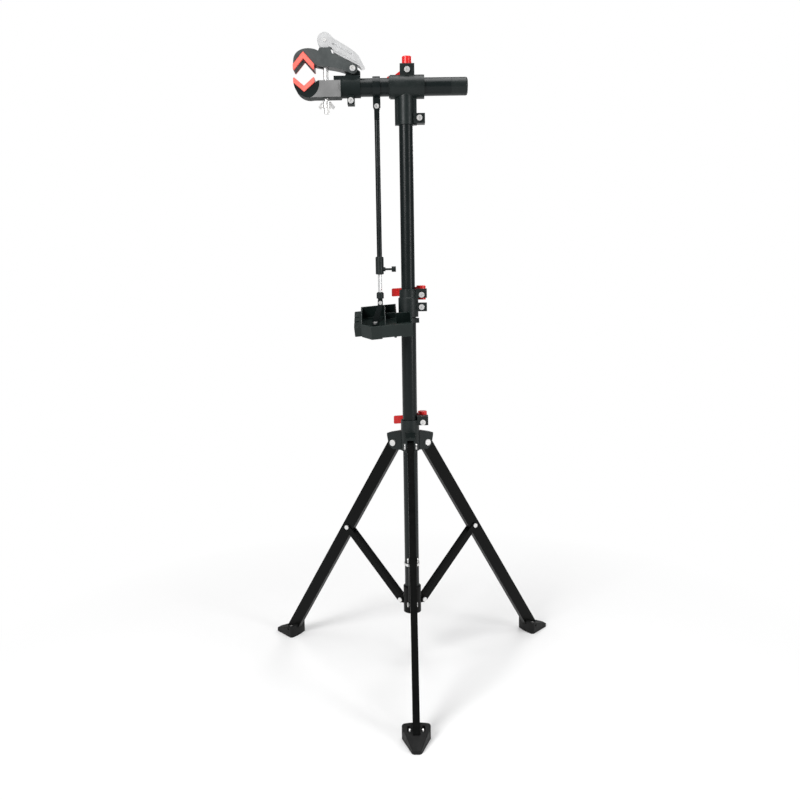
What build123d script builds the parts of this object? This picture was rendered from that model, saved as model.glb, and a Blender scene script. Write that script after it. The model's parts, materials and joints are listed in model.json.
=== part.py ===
"""Folding bicycle repair stand: tripod base, telescopic mast, tee, gripping arm and hanging tool tray.

Frame: millimetres, +Z up, origin on the floor under the mast axis. The gripping arm lies along X with
its jaws at -X, and the front leg points to -Y.
"""

import os
from math import atan2, cos, degrees, hypot, radians, sin, tan

from build123d import *

os.makedirs("parts", exist_ok=True)

# ---- clearances ----------------------------------------------------------------------------------
RUN = 0.05  # radial play of a shaft or sleeve that turns or slides
FIT = 0.05  # radial play of pieces fixed together
SIDE = 0.4  # side play between folding pieces

# ---- mast ----------------------------------------------------------------------------------------
MID_R = 17.5  # lower mast tube, outer radius
MID_BORE = 16.2
MID_LOW = 150.0
MID_HIGH = 905.0
UP_R = 16.0  # sliding mast tube, outer radius
UP_WALL = 1.5
UP_LOW = 580.0
UP_TOP_GAP = 9.0  # from the top of the sliding tube to the arm tube
PLUG_HIGH = 10.0

# ---- arm -----------------------------------------------------------------------------------------
ARM_Z = 1381.0
ARM_R = 20.0
ARM_WALL = 1.5
ARM_LEFT = -146.0
ARM_RIGHT = 104.0
CAP_END = 141.0
CAP_SPIGOT = 22.0

# ---- tee -----------------------------------------------------------------------------------------
TEE_LEFT = -35.0
TEE_RIGHT = 42.5
TEE_R = 26.3
LINER_WALL = 1.9
STEM_R = 25.0  # half the width across the stem's two side flanges
STEM_CORE = 19.0
STEM_FLANGE = 13.0  # thickness of the flanges
STEM_LOW = ARM_Z - 84.0
SLOT = 3.0  # width of every clamping slot
SLOT_LONG = 31.0
LUG_HALF = 13.0  # half the width of a pair of clamping lugs
BOLT_R = 3.0
HEAD_R = 6.5
HEAD_H = 4.5
TEE_LUG_X = 4.0
TEE_LUG_LONG = 33.0
TEE_LUG_TOP = ARM_Z + 49.0
TEE_BOLT_Z = ARM_Z + 35.0
STEM_LUG_Z = STEM_LOW + 13.5
STEM_LUG_HIGH = 22.0
LUG_REACH = 12.5  # from a side bolt to the end of its lug
LUG_LONG = 26.0

# ---- height collar -------------------------------------------------------------------------------
COL_LOW = 860.0
COL_SHOULDER = 906.0
COL_HIGH = 921.0
COL_R = 23.5
COL_NECK_R = 21.0
BUSH_WALL = 2.0
BUSH_FLANGE = 3.0
SIDE_BOLT_X = 31.0
QR_Z = 911.5
QR_LUG_HIGH = 21.5
QR_LUG_RISE = 3.5  # middle of a release lug above its bolt
PINCH_Z = 883.0
PINCH_LUG_HIGH = 20.0

# ---- quick-release lever ---------------------------------------------------------------------------
CAM_R = 11.0
CAM_GAP = 7.8  # fork gap that straddles the bolt's eye
CAM_Y = 27.0  # lever pivot behind the mast's axis
CAM_LOW = 12.0  # cam drum below its bolt
CAM_HIGH = 21.5  # cam drum above its bolt
TEE_CAM_HIGH = 38.0
LEVER_HIGH = 19.0
LEVER_THICK = 6.5
LEVER_REACH = 70.0
TEE_REACH = 46.0
LEVER_ROOT = 30.0  # where the handle has narrowed to its full-length height
HEIGHT_TIP = 5.5  # middle of each handle's tip above its bolt
HUB_TIP = -0.7
TEE_TIP = -14.0
PIVOT_R = 2.5

# ---- tripod ----------------------------------------------------------------------------------------
AZIMUTHS = {"front": -90.0, "right": 30.0, "left": 150.0}
LEG_TILT = 31.45  # open leg from the vertical
LEG_DEEP = 30.0
LEG_WIDE = 15.0
LEG_WALL = 1.5
LEG_PIVOT_R = 41.3
LEG_ABOVE = 6.0  # leg beyond its pivot
FOOT_BOLT = 627.0  # from the leg pivot to the foot bolt
FOOT_BOLT_UP = 21.1  # foot bolt above the floor
LEG_PIVOT_Z = round(FOOT_BOLT_UP + FOOT_BOLT * cos(radians(LEG_TILT)), 1)
LEG_BELOW = 8.0  # leg beyond its foot bolt
BRACE_AT = 271.5  # from the leg pivot to the brace rivet
BRACE_PIN_R = 29.0
BRACE_PIN_Z = 160.0
BRACE_WIDE = 15.0
BRACE_THICK = 2.0
RIVET_R = 3.0

HUB_LOW = LEG_PIVOT_Z - 16.0
HUB_PLATE = LEG_PIVOT_Z + 17.0
HUB_PLATE_TOP = LEG_PIVOT_Z + 30.0
HUB_TOP = LEG_PIVOT_Z + 58.0
HUB_R = 22.0
HUB_REACH = 58.0
CHEEK = 4.0
HUB_QR_Z = HUB_TOP - 5.0
PIVOT_BOLT_R = 4.0
PIVOT_HEAD_R = 7.5

BASE_LOW = 134.0
BASE_HIGH = 200.0
BASE_R = 21.5
EAR_WIDE = LEG_WIDE - 1.0
EAR_R = 8.0
STOP_Z = 255.0
STOP_R = 19.0
STOP_HIGH = 6.0

FOOT_BACK = 13.5  # from the foot bolt in to the foot's upright wall
FOOT_REACH = 53.0  # from the foot bolt out to the foot's tip
FOOT_HALF = 32.5
FOOT_TIP_HALF = 9.0
FOOT_BOW = 4.0  # bow of the upright wall in plan
FOOT_CORNER = 7.0
FOOT_HIGH = 31.0
FOOT_TIP_HIGH = 8.0
FOOT_EDGE = 2.0
SOCKET_WALL = 5.0
RECESS = 15.0  # across the recess of a foot bolt's head

# ---- jaws ------------------------------------------------------------------------------------------
JAW_HALF = 20.0  # half the width of the jaws
SOCKET_R = 22.6
SOCKET_RIGHT = -102.0
JAW_RIGHT = -149.0
JAW_LEFT = -251.5
GRIP_X = -228.5
PAD_WIDE = 24.0  # half the width of the gripping notch
PAD_THICK = 10.0
PAD_HALF = 22.0
LOWER_APEX = 1.5  # heights here are from the arm axis
LOWER_EDGE = 22.0
UPPER_APEX = 60.5
UPPER_EDGE = 33.0
JAW_TOP = 13.3  # top of the lower jaw's block
JAW_LOW = -23.0
PLATE_LEFT = -162.0
PLATE_TOP = 23.7
PLATE_HALF = 15.0
HINGE_X = -118.5
HINGE_Z = 38.0
HINGE_R = 11.0
HINGE_EAR = 14.0
STUD_X = -180.0
STUD_R = 6.0
STUD_LOW = -57.0
CAM_TOP = 101.5
CAM_DISC = 17.0
CAM_HALF = 13.0
HANDLE_X = -97.0
HANDLE_Z = 46.0
GROOVE_DEEP = 4.0
WING_HALF = 18.7
WING_LOW = -44.0

# ---- hanging rod -------------------------------------------------------------------------------------
ROD_X = -66.0
STRAP_WIDE = 17.0
STRAP_THICK = 3.5
KNUCKLE_Z = ARM_Z - 43.0
KNUCKLE_R = 8.0
ROD_R = 6.0
ROD_BORE = 4.7
ROD_TOP = KNUCKLE_Z - 8.0
ROD_LOW = 985.0
COUPLING_LOW = 960.0
COUPLING_HIGH = 1001.0
COUPLING_R = 9.5
THUMB_Z = 972.0
THUMB_END = -28.0
INNER_R = 4.5
INNER_TOP = 1270.0
END_Z = 894.0
END_TOP = 919.0
END_R = 8.5

# ---- tray --------------------------------------------------------------------------------------------
TRAY_TILT = 18.5
TRAY_ROLL = 4.5
TRAY_Z = 853.0  # underside of the floor at the mast axis
TRAY_FLOOR = 3.0
TRAY_WALL = 2.5
TRAY_HIGH = 31.0
TRAY_FRONT = -103.0
TRAY_BACK = 33.0
TRAY_LEFT = -110.0
TRAY_RIGHT = 7.0
TRAY_CORNER = 23.0
TRAY_NOTCH = 27.0  # from the mast axis to the walls that pass it
COMB_OUT = 16.0
COMB_THICK = 5.0
COMB_DROP = 9.0  # top of the comb below the rim
COMB_SLOT = 8.0
DIVIDER_U = -54.0
STEP_V = -58.0
STEP_BACK = -8.0
STEP_HIGH = 15.0
DRAIN_HIGH = 3.5
RING_R = 23.0
RING_LOW = 846.0
RING_HIGH = 857.0


def save(piece, name):
    piece.part.label = name
    export_step(piece.part, f"parts/{name}.step")


def upright_tube(radius, bore, low, high):
    """A round tube or, with no bore, a round bar about the mast axis."""
    with BuildPart() as tube:
        with BuildSketch(Plane.XY.offset(low)):
            Circle(radius)
            if bore:
                Circle(bore, mode=Mode.SUBTRACT)
        extrude(amount=high - low)
    return tube


def across(x, z, y=0.0):
    """The plane through (x, y, z) whose sketch has X to the right and Z up, seen from the front."""
    return Plane(origin=(x, y, z), x_dir=(1, 0, 0), z_dir=(0, -1, 0))


def along_arm(x):
    """The plane square to the arm at x, with its sketch origin on the arm axis."""
    return Plane(origin=(x, 0, ARM_Z), x_dir=(0, 1, 0), z_dir=(1, 0, 0))


def arm_tube_between(radius, bore, left, right):
    with BuildPart() as tube:
        with BuildSketch(along_arm(left)):
            Circle(radius)
            if bore:
                Circle(bore, mode=Mode.SUBTRACT)
        extrude(amount=right - left)
    return tube


def radial(azimuth, offset=0.0):
    """The upright plane of a leg: sketch X is outward, sketch Y is up, offset is sideways."""
    a = radians(azimuth)
    outward = Vector(cos(a), sin(a), 0)
    sideways = Vector(sin(a), -cos(a), 0)
    return Plane(origin=sideways * offset, x_dir=outward, z_dir=sideways)


def cross_bolt(x, z, front, back, radius=BOLT_R, head=HEAD_R, nut=True):
    """A bolt along Y from its head in front to its nut behind."""
    with BuildPart() as bolt:
        with BuildSketch(across(x, z, front)):
            Circle(radius)
        extrude(amount=front - back)
        with BuildSketch(across(x, z, front)):
            Circle(head)
        extrude(amount=HEAD_H)
        with BuildSketch(across(x, z, front - HEAD_H)):
            RegularPolygon(head * 0.45, 6)
        extrude(amount=-2.0, mode=Mode.SUBTRACT)
        if nut:
            with BuildSketch(across(x, z, back)):
                RegularPolygon(head * 0.95, 6)
            extrude(amount=-HEAD_H)
    return bolt


def side_lugs(z, high):
    """The block on the +X side of a collar that its slot parts into two clamping lugs."""
    with BuildPart() as lugs:
        with BuildSketch(Plane.XY.offset(z - high / 2)):
            with Locations((SIDE_BOLT_X + LUG_REACH - LUG_LONG / 2, 0)):
                Rectangle(LUG_LONG, 2 * LUG_HALF)
        extrude(amount=high)
    return lugs.part


# ---- fixed mast tube and its collars ---------------------------------------------------------------
mid_tube = upright_tube(MID_R, MID_BORE, MID_LOW, MID_HIGH)
save(mid_tube, "mid_tube")

bush_r = UP_R + RUN + BUSH_WALL
with BuildPart() as height_collar:
    with BuildSketch(Plane.XY.offset(COL_LOW)):
        Circle(COL_R)
    extrude(amount=COL_SHOULDER - COL_LOW)
    chamfer(height_collar.edges().group_by(Axis.Z)[-1], 2.0)
    with BuildSketch(Plane.XY.offset(COL_SHOULDER - 2.0)):
        Circle(COL_NECK_R)
    extrude(amount=COL_HIGH - COL_SHOULDER + 2.0)
    add(side_lugs(QR_Z + QR_LUG_RISE, QR_LUG_HIGH))
    add(side_lugs(PINCH_Z, PINCH_LUG_HIGH))
    fillet(height_collar.edges().filter_by(Axis.Z).sort_by(Axis.X)[-4:], 2.0)
    with BuildSketch(Plane.XY.offset(COL_LOW)):
        Circle(MID_R + FIT)
    extrude(amount=MID_HIGH + 0.3 - COL_LOW, mode=Mode.SUBTRACT)
    with BuildSketch(Plane.XY.offset(MID_HIGH)):
        Circle(bush_r + RUN)
    extrude(amount=COL_HIGH - MID_HIGH, mode=Mode.SUBTRACT)
    with BuildSketch(Plane.XY.offset(COL_HIGH)):
        Circle(COL_NECK_R + 0.3)
    extrude(amount=QR_LUG_HIGH, mode=Mode.SUBTRACT)
    with BuildSketch(Plane.XY.offset(COL_LOW)):
        with Locations((SIDE_BOLT_X, 0)):
            Rectangle(SLOT_LONG, SLOT)
    extrude(amount=QR_Z + QR_LUG_HIGH - COL_LOW, mode=Mode.SUBTRACT)
    with BuildSketch(Plane.XZ):
        with Locations((SIDE_BOLT_X, QR_Z), (SIDE_BOLT_X, PINCH_Z)):
            Circle(BOLT_R + FIT)
    extrude(amount=LUG_HALF + 1.0, both=True, mode=Mode.SUBTRACT)
save(height_collar, "height_collar")

pinch_bolt = cross_bolt(SIDE_BOLT_X, PINCH_Z, -LUG_HALF, LUG_HALF)
save(pinch_bolt, "height_pinch_bolt")


def release_bolt(x, z, cam_high=CAM_HIGH):
    """The bolt of a quick release: head in front, washer behind, eye and pivot pin for the lever."""
    with BuildPart() as bolt:
        with BuildSketch(across(x, z, -LUG_HALF)):
            Circle(BOLT_R)
        extrude(amount=-(LUG_HALF + CAM_Y))
        with BuildSketch(across(x, z, -LUG_HALF)):
            Circle(HEAD_R)
        extrude(amount=HEAD_H)
        with BuildSketch(across(x, z, -LUG_HALF - HEAD_H)):
            RegularPolygon(HEAD_R * 0.45, 6)
        extrude(amount=-2.0, mode=Mode.SUBTRACT)
        with BuildSketch(across(x, z, LUG_HALF)):
            Circle(HEAD_R)
        extrude(amount=-(CAM_Y - CAM_R - 0.5 - LUG_HALF))
        with BuildSketch(Plane(origin=(x, CAM_Y, z - CAM_LOW))):
            Circle(PIVOT_R)
        extrude(amount=CAM_LOW + cam_high)
        with BuildSketch(Plane(origin=(x, CAM_Y, z - CAM_GAP / 2 + SIDE))):
            Circle(BOLT_R + 1.5)
        extrude(amount=CAM_GAP - 2 * SIDE)
    return bolt


def release_lever(x, z, tip, reach=LEVER_REACH, cam_high=CAM_HIGH):
    """A quick-release lever: a forked cam drum about an upright pin, and a handle behind the mast."""
    with BuildPart() as lever:
        with BuildSketch(Plane(origin=(x, CAM_Y, z - CAM_LOW))):
            Circle(CAM_R)
        extrude(amount=CAM_LOW + cam_high)
        fillet(lever.edges().group_by(Axis.Z)[-1], 1.5)
        with BuildSketch(across(x, z, CAM_Y + CAM_R - LEVER_THICK)):
            with BuildLine():
                Polyline(
                    (0.0, -CAM_LOW),
                    (0.0, LEVER_HIGH),
                    (-LEVER_ROOT, tip + LEVER_HIGH / 2 + 2.0),
                    (-reach, tip + LEVER_HIGH / 2),
                    (-reach, tip - LEVER_HIGH / 2),
                    (-LEVER_ROOT, tip - LEVER_HIGH / 2 + 2.0),
                    close=True,
                )
            make_face()
        extrude(amount=-LEVER_THICK)
        fillet(lever.edges().filter_by(Axis.Y).sort_by(Axis.X)[:2], 3.0)
        with BuildSketch(Plane(origin=(x, CAM_Y, z - CAM_GAP / 2))):
            Circle(CAM_R + 1.0)
        extrude(amount=CAM_GAP, mode=Mode.SUBTRACT)
        with BuildSketch(Plane(origin=(x, CAM_Y, z - CAM_LOW - 1.0))):
            Circle(PIVOT_R + RUN)
        extrude(amount=CAM_LOW + cam_high + 2.0, mode=Mode.SUBTRACT)
    return lever


save(release_bolt(SIDE_BOLT_X, QR_Z), "height_release_bolt")
save(release_lever(SIDE_BOLT_X, QR_Z, HEIGHT_TIP), "height_lever")

with BuildPart() as collar_bush:
    with BuildSketch(Plane.XY.offset(MID_HIGH + 0.3)):
        Circle(bush_r)
    extrude(amount=COL_HIGH - MID_HIGH)
    with BuildSketch(Plane.XY.offset(COL_HIGH + 0.3)):
        Circle(COL_NECK_R)
    extrude(amount=BUSH_FLANGE)
    with BuildSketch(Plane.XY.offset(MID_HIGH)):
        Circle(UP_R + RUN)
    extrude(amount=COL_HIGH - MID_HIGH + 2 * BUSH_FLANGE, mode=Mode.SUBTRACT)
save(collar_bush, "collar_bush")

save(upright_tube(STOP_R, MID_R + FIT, STOP_Z - STOP_HIGH / 2, STOP_Z + STOP_HIGH / 2), "stop_ring")

with BuildPart() as bottom_collar:
    with BuildSketch(Plane.XY.offset(BASE_LOW)):
        Circle(BASE_R)
    extrude(amount=BASE_HIGH - BASE_LOW)
    for azimuth in AZIMUTHS.values():
        with BuildSketch(radial(azimuth)):
            with BuildLine():
                Polyline(
                    (MID_R + 1.0, BRACE_PIN_Z - EAR_R),
                    (BRACE_PIN_R, BRACE_PIN_Z - EAR_R),
                    (BRACE_PIN_R, BRACE_PIN_Z + EAR_R),
                    (MID_R + 1.0, BRACE_PIN_Z + EAR_R),
                    close=True,
                )
            make_face()
            with Locations((BRACE_PIN_R, BRACE_PIN_Z)):
                Circle(EAR_R)
        extrude(amount=EAR_WIDE / 2, both=True)
    chamfer(bottom_collar.edges().group_by(Axis.Z)[-1], 1.2)
    with BuildSketch(Plane.XY.offset(MID_LOW)):
        Circle(MID_R + FIT)
    extrude(amount=BASE_HIGH - MID_LOW, mode=Mode.SUBTRACT)
    for azimuth in AZIMUTHS.values():
        with BuildSketch(radial(azimuth)):
            with Locations((BRACE_PIN_R, BRACE_PIN_Z)):
                Circle(RIVET_R + FIT)
        extrude(amount=EAR_WIDE, both=True, mode=Mode.SUBTRACT)
save(bottom_collar, "bottom_collar")

ear_half = EAR_WIDE / 2
brace_in = LEG_WIDE / 2 + SIDE
brace_out = brace_in + BRACE_THICK
with BuildPart() as ear_pins:
    for azimuth in AZIMUTHS.values():
        with BuildSketch(radial(azimuth)):
            with Locations((BRACE_PIN_R, BRACE_PIN_Z)):
                Circle(RIVET_R)
        extrude(amount=brace_out + SIDE, both=True)
        for side in (-1, 1):
            with BuildSketch(radial(azimuth, side * (brace_out + SIDE))):
                with Locations((BRACE_PIN_R, BRACE_PIN_Z)):
                    Circle(RIVET_R + 2.5)
            extrude(amount=side * 2.5)
save(ear_pins, "ear_pins")

# ---- hub ---------------------------------------------------------------------------------------------
cheek_in = LEG_WIDE / 2 + SIDE
cheek_out = cheek_in + CHEEK
with BuildPart() as hub_body:
    with BuildSketch(Plane.XY.offset(HUB_LOW)):
        Circle(HUB_R)
    extrude(amount=HUB_TOP - HUB_LOW)
    add(side_lugs(HUB_QR_Z + QR_LUG_RISE, QR_LUG_HIGH))
    for azimuth in AZIMUTHS.values():
        with BuildSketch(radial(azimuth)):
            with BuildLine():
                Polyline(
                    (HUB_R - 3.0, HUB_LOW),
                    (LEG_PIVOT_R, HUB_LOW),
                    (LEG_PIVOT_R + 12.0, HUB_LOW + 8.0),
                    (HUB_REACH, HUB_PLATE),
                    (HUB_REACH, HUB_PLATE_TOP - 7.0),
                    (HUB_R + 4.0, HUB_PLATE_TOP),
                    (HUB_R - 3.0, HUB_PLATE_TOP),
                    close=True,
                )
            make_face()
        extrude(amount=cheek_out, both=True)
    for azimuth in AZIMUTHS.values():
        with BuildSketch(radial(azimuth)):
            with BuildLine():
                Polyline(
                    (HUB_R, HUB_LOW - 1.0),
                    (HUB_REACH + 5.0, HUB_LOW - 1.0),
                    (HUB_REACH + 5.0, HUB_PLATE),
                    (HUB_R, HUB_PLATE),
                    close=True,
                )
            make_face()
        extrude(amount=cheek_in, both=True, mode=Mode.SUBTRACT)
        with BuildSketch(radial(azimuth)):
            with Locations((LEG_PIVOT_R, LEG_PIVOT_Z)):
                Circle(PIVOT_BOLT_R + FIT)
        extrude(amount=cheek_out + 1.0, both=True, mode=Mode.SUBTRACT)
    with BuildSketch(Plane.XY.offset(HUB_LOW - 1.0)):
        Circle(MID_R + RUN)
    extrude(amount=HUB_QR_Z + QR_LUG_HIGH - HUB_LOW, mode=Mode.SUBTRACT)
    with BuildSketch(Plane.XY.offset(HUB_PLATE_TOP + 2.0)):
        with Locations((SIDE_BOLT_X, 0)):
            Rectangle(SLOT_LONG, SLOT)
    extrude(amount=40.0, mode=Mode.SUBTRACT)
    with BuildSketch(Plane.XZ):
        with Locations((SIDE_BOLT_X, HUB_QR_Z)):
            Circle(BOLT_R + FIT)
    extrude(amount=LUG_HALF + 1.0, both=True, mode=Mode.SUBTRACT)
save(hub_body, "hub_body")

with BuildPart() as hub_pivot_bolts:
    for azimuth in AZIMUTHS.values():
        with BuildSketch(radial(azimuth)):
            with Locations((LEG_PIVOT_R, LEG_PIVOT_Z)):
                Circle(PIVOT_BOLT_R)
        extrude(amount=cheek_out, both=True)
        for side in (-1, 1):
            with BuildSketch(radial(azimuth, side * cheek_out)):
                with Locations((LEG_PIVOT_R, LEG_PIVOT_Z)):
                    Circle(PIVOT_HEAD_R)
            extrude(amount=side * 3.5)
save(hub_pivot_bolts, "hub_pivot_bolts")

save(release_bolt(SIDE_BOLT_X, HUB_QR_Z), "hub_release_bolt")
save(release_lever(SIDE_BOLT_X, HUB_QR_Z, HUB_TIP), "hub_lever")

# ---- legs, feet and braces -----------------------------------------------------------------------------
tilt = radians(LEG_TILT)


def on_leg(distance, sideways=0.0):
    """Sketch point at a distance down the leg from its pivot, shifted outward across the leg."""
    r = LEG_PIVOT_R + distance * sin(tilt) + sideways * cos(tilt)
    z = LEG_PIVOT_Z - distance * cos(tilt) + sideways * sin(tilt)
    return (r, z)


def leg_strip(start, end, half):
    """Corners of a strip along the leg."""
    return [on_leg(start, -half), on_leg(end, -half), on_leg(end, half), on_leg(start, half)]


leg_end = FOOT_BOLT + LEG_BELOW
rivet = on_leg(BRACE_AT)
foot_bolt_at = on_leg(FOOT_BOLT)
foot_in = foot_bolt_at[0] - FOOT_BACK
foot_tip = foot_bolt_at[0] + FOOT_REACH
foot_fall = (FOOT_HIGH - FOOT_TIP_HIGH) / (foot_tip - foot_in)

for where, azimuth in AZIMUTHS.items():
    plane = radial(azimuth)
    with BuildPart() as leg:
        with BuildSketch(plane):
            with BuildLine():
                Polyline(*leg_strip(-LEG_ABOVE, leg_end, LEG_DEEP / 2), close=True)
            make_face()
        extrude(amount=LEG_WIDE / 2, both=True)
        with BuildSketch(plane):
            with BuildLine():
                inner = LEG_DEEP / 2 - LEG_WALL
                Polyline(*leg_strip(-LEG_ABOVE - 1.0, leg_end + 1.0, inner), close=True)
            make_face()
        extrude(amount=LEG_WIDE / 2 - LEG_WALL, both=True, mode=Mode.SUBTRACT)
        with BuildSketch(plane):
            with Locations((LEG_PIVOT_R, LEG_PIVOT_Z)):
                Circle(PIVOT_BOLT_R + RUN)
            with Locations(foot_bolt_at):
                Circle(BOLT_R + FIT)
        extrude(amount=LEG_WIDE, both=True, mode=Mode.SUBTRACT)
    save(leg, f"leg_{where}")

    socket_half = LEG_WIDE / 2 + SOCKET_WALL
    a = radians(azimuth)
    with BuildPart() as foot:
        with BuildSketch(Plane(origin=(0, 0, 0), x_dir=(cos(a), sin(a), 0), z_dir=(0, 0, 1))) as plan:
            with BuildLine():
                ThreePointArc((foot_in, -FOOT_HALF), (foot_in - FOOT_BOW, 0), (foot_in, FOOT_HALF))
                Polyline(
                    (foot_in, FOOT_HALF),
                    (foot_tip, FOOT_TIP_HALF),
                    (foot_tip, -FOOT_TIP_HALF),
                    (foot_in, -FOOT_HALF),
                )
            make_face()
            fillet(plan.vertices(), FOOT_CORNER)
        extrude(amount=FOOT_HIGH + FOOT_BOW)
        with BuildSketch(plane):
            with BuildLine():
                Polyline(
                    (foot_in - FOOT_BOW - 1.0, 0.0),
                    (foot_tip + 1.0, 0.0),
                    (foot_tip + 1.0, FOOT_TIP_HIGH - foot_fall),
                    (foot_in - FOOT_BOW - 1.0, FOOT_HIGH + foot_fall * (FOOT_BOW + 1.0)),
                    close=True,
                )
            make_face()
        extrude(amount=FOOT_HALF + 1.0, both=True, mode=Mode.INTERSECT)
        fillet(foot.faces().sort_by(Axis.Z)[-1].edges(), FOOT_EDGE)
        for side in (-1, 1):
            with BuildSketch(radial(azimuth, side * socket_half)):
                with Locations((foot_bolt_at[0], foot_bolt_at[1] + RECESS / 2)):
                    Rectangle(RECESS, 2 * RECESS)
            extrude(amount=side * 6.0, mode=Mode.SUBTRACT)
        with BuildSketch(radial(azimuth)):
            with BuildLine():
                Polyline(*leg_strip(400.0, leg_end + FIT, LEG_DEEP / 2 + FIT), close=True)
            make_face()
        extrude(amount=LEG_WIDE / 2 + FIT, both=True, mode=Mode.SUBTRACT)
        with BuildSketch(radial(azimuth)):
            with Locations(foot_bolt_at):
                Circle(BOLT_R + FIT)
        extrude(amount=FOOT_HALF, both=True, mode=Mode.SUBTRACT)
    save(foot, f"foot_{where}")

    with BuildPart() as foot_bolt:
        with BuildSketch(plane):
            with Locations(foot_bolt_at):
                Circle(BOLT_R)
        extrude(amount=socket_half, both=True)
        for side in (-1, 1):
            with BuildSketch(radial(azimuth, side * socket_half)):
                with Locations(foot_bolt_at):
                    Circle(BOLT_R + 2.5)
            extrude(amount=side * 3.0)
    save(foot_bolt, f"foot_bolt_{where}")

    brace_pin = (BRACE_PIN_R, BRACE_PIN_Z)
    run_r = rivet[0] - brace_pin[0]
    run_z = rivet[1] - brace_pin[1]
    brace_length = hypot(run_r, run_z)
    brace_angle = degrees(atan2(run_z, run_r))
    middle = ((rivet[0] + brace_pin[0]) / 2, (rivet[1] + brace_pin[1]) / 2)
    with BuildPart() as brace:
        for side in (-1, 1):
            with BuildSketch(radial(azimuth, side * brace_in)):
                with Locations(Location(middle, brace_angle)):
                    SlotCenterToCenter(brace_length, BRACE_WIDE)
                with Locations(brace_pin, rivet):
                    Circle(RIVET_R + RUN, mode=Mode.SUBTRACT)
            extrude(amount=side * BRACE_THICK)
    save(brace, f"brace_{where}")

    with BuildPart() as brace_rivets:
        for side in (-1, 1):
            with BuildSketch(radial(azimuth, side * brace_in)):
                with Locations(rivet):
                    Circle(RIVET_R)
            extrude(amount=side * BRACE_THICK)
            with BuildSketch(radial(azimuth, side * brace_out)):
                with Locations(rivet):
                    Circle(RIVET_R + 2.5)
            extrude(amount=side * 2.5)
    save(brace_rivets, f"brace_rivets_{where}")

# ---- sliding mast and tee --------------------------------------------------------------------------------
up_high = ARM_Z - ARM_R - UP_TOP_GAP
save(upright_tube(UP_R, UP_R - UP_WALL, UP_LOW, up_high), "upper_tube")

with BuildPart() as tube_plug:
    with BuildSketch(Plane.XY.offset(UP_LOW)):
        Circle(UP_R - UP_WALL - FIT)
    extrude(amount=PLUG_HIGH)
    with BuildSketch(Plane.XY.offset(UP_LOW - 3.0)):
        Circle(UP_R)
    extrude(amount=3.0)
save(tube_plug, "upper_tube_plug")

liner_r = ARM_R + RUN + LINER_WALL
with BuildPart() as tee_body:
    with BuildSketch(along_arm(TEE_LEFT)):
        Circle(TEE_R)
    extrude(amount=TEE_RIGHT - TEE_LEFT)
    with BuildSketch(Plane.XY.offset(STEM_LOW)):
        Circle(STEM_CORE)
        Rectangle(2 * STEM_R, STEM_FLANGE)
    extrude(amount=ARM_Z - STEM_LOW)
    with BuildSketch(Plane(origin=(TEE_LUG_X, 0, ARM_Z + TEE_R - 6.0))):
        Rectangle(TEE_LUG_LONG, 2 * LUG_HALF)
    extrude(amount=TEE_LUG_TOP - ARM_Z - TEE_R + 6.0)
    add(side_lugs(STEM_LUG_Z, STEM_LUG_HIGH))
    with BuildSketch(along_arm(TEE_LEFT)):
        Circle(liner_r + RUN)
    extrude(amount=TEE_RIGHT - TEE_LEFT, mode=Mode.SUBTRACT)
    with BuildSketch(Plane.XY.offset(STEM_LOW)):
        Circle(UP_R + FIT)
    extrude(amount=up_high + 0.3 - STEM_LOW, mode=Mode.SUBTRACT)
    with BuildSketch(along_arm(TEE_LEFT)):
        with Locations((0, TEE_LUG_TOP - ARM_Z)):
            Rectangle(SLOT, 2 * (TEE_LUG_TOP - ARM_Z))
    extrude(amount=TEE_RIGHT - TEE_LEFT, mode=Mode.SUBTRACT)
    with BuildSketch(Plane.XY.offset(STEM_LOW)):
        with Locations((SIDE_BOLT_X, 0)):
            Rectangle(SLOT_LONG, SLOT)
    extrude(amount=STEM_LUG_HIGH + 8.0, mode=Mode.SUBTRACT)
    with BuildSketch(Plane.XZ):
        with Locations((TEE_LUG_X, TEE_BOLT_Z), (SIDE_BOLT_X, STEM_LUG_Z)):
            Circle(BOLT_R + FIT)
    extrude(amount=LUG_HALF + 1.0, both=True, mode=Mode.SUBTRACT)
save(tee_body, "tee_body")

save(cross_bolt(SIDE_BOLT_X, STEM_LUG_Z, -LUG_HALF, LUG_HALF), "stem_pinch_bolt")
save(release_bolt(TEE_LUG_X, TEE_BOLT_Z, TEE_CAM_HIGH), "tee_release_bolt")
tee_lever = release_lever(TEE_LUG_X, TEE_BOLT_Z, TEE_TIP, TEE_REACH, TEE_CAM_HIGH)
save(tee_lever, "tee_lever")

with BuildPart() as arm_liner:
    with BuildSketch(along_arm(TEE_LEFT - 0.3)):
        Circle(liner_r)
    extrude(amount=TEE_RIGHT - TEE_LEFT + 0.3)
    with BuildSketch(along_arm(TEE_LEFT - 2.8)):
        Circle(liner_r + 2.5)
    extrude(amount=2.5)
    with BuildSketch(along_arm(TEE_LEFT - 5.0)):
        Circle(ARM_R + RUN)
    extrude(amount=TEE_RIGHT - TEE_LEFT + 10.0, mode=Mode.SUBTRACT)
save(arm_liner, "arm_liner")

# ---- arm ---------------------------------------------------------------------------------------------------
save(arm_tube_between(ARM_R, ARM_R - ARM_WALL, ARM_LEFT, ARM_RIGHT), "arm_tube")

with BuildPart() as arm_end_cap:
    with BuildSketch(along_arm(ARM_RIGHT)):
        Circle(ARM_R)
    extrude(amount=CAP_END - ARM_RIGHT)
    fillet(arm_end_cap.edges().group_by(Axis.X)[-1], 4.0)
    with BuildSketch(along_arm(ARM_RIGHT - CAP_SPIGOT)):
        Circle(ARM_R - ARM_WALL - FIT)
    extrude(amount=CAP_SPIGOT)
save(arm_end_cap, "arm_end_cap")

# ---- clamp head --------------------------------------------------------------------------------------------
jaw_plane = across(0.0, ARM_Z)  # sketch X is along the arm and sketch Y is up from the arm axis


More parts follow.
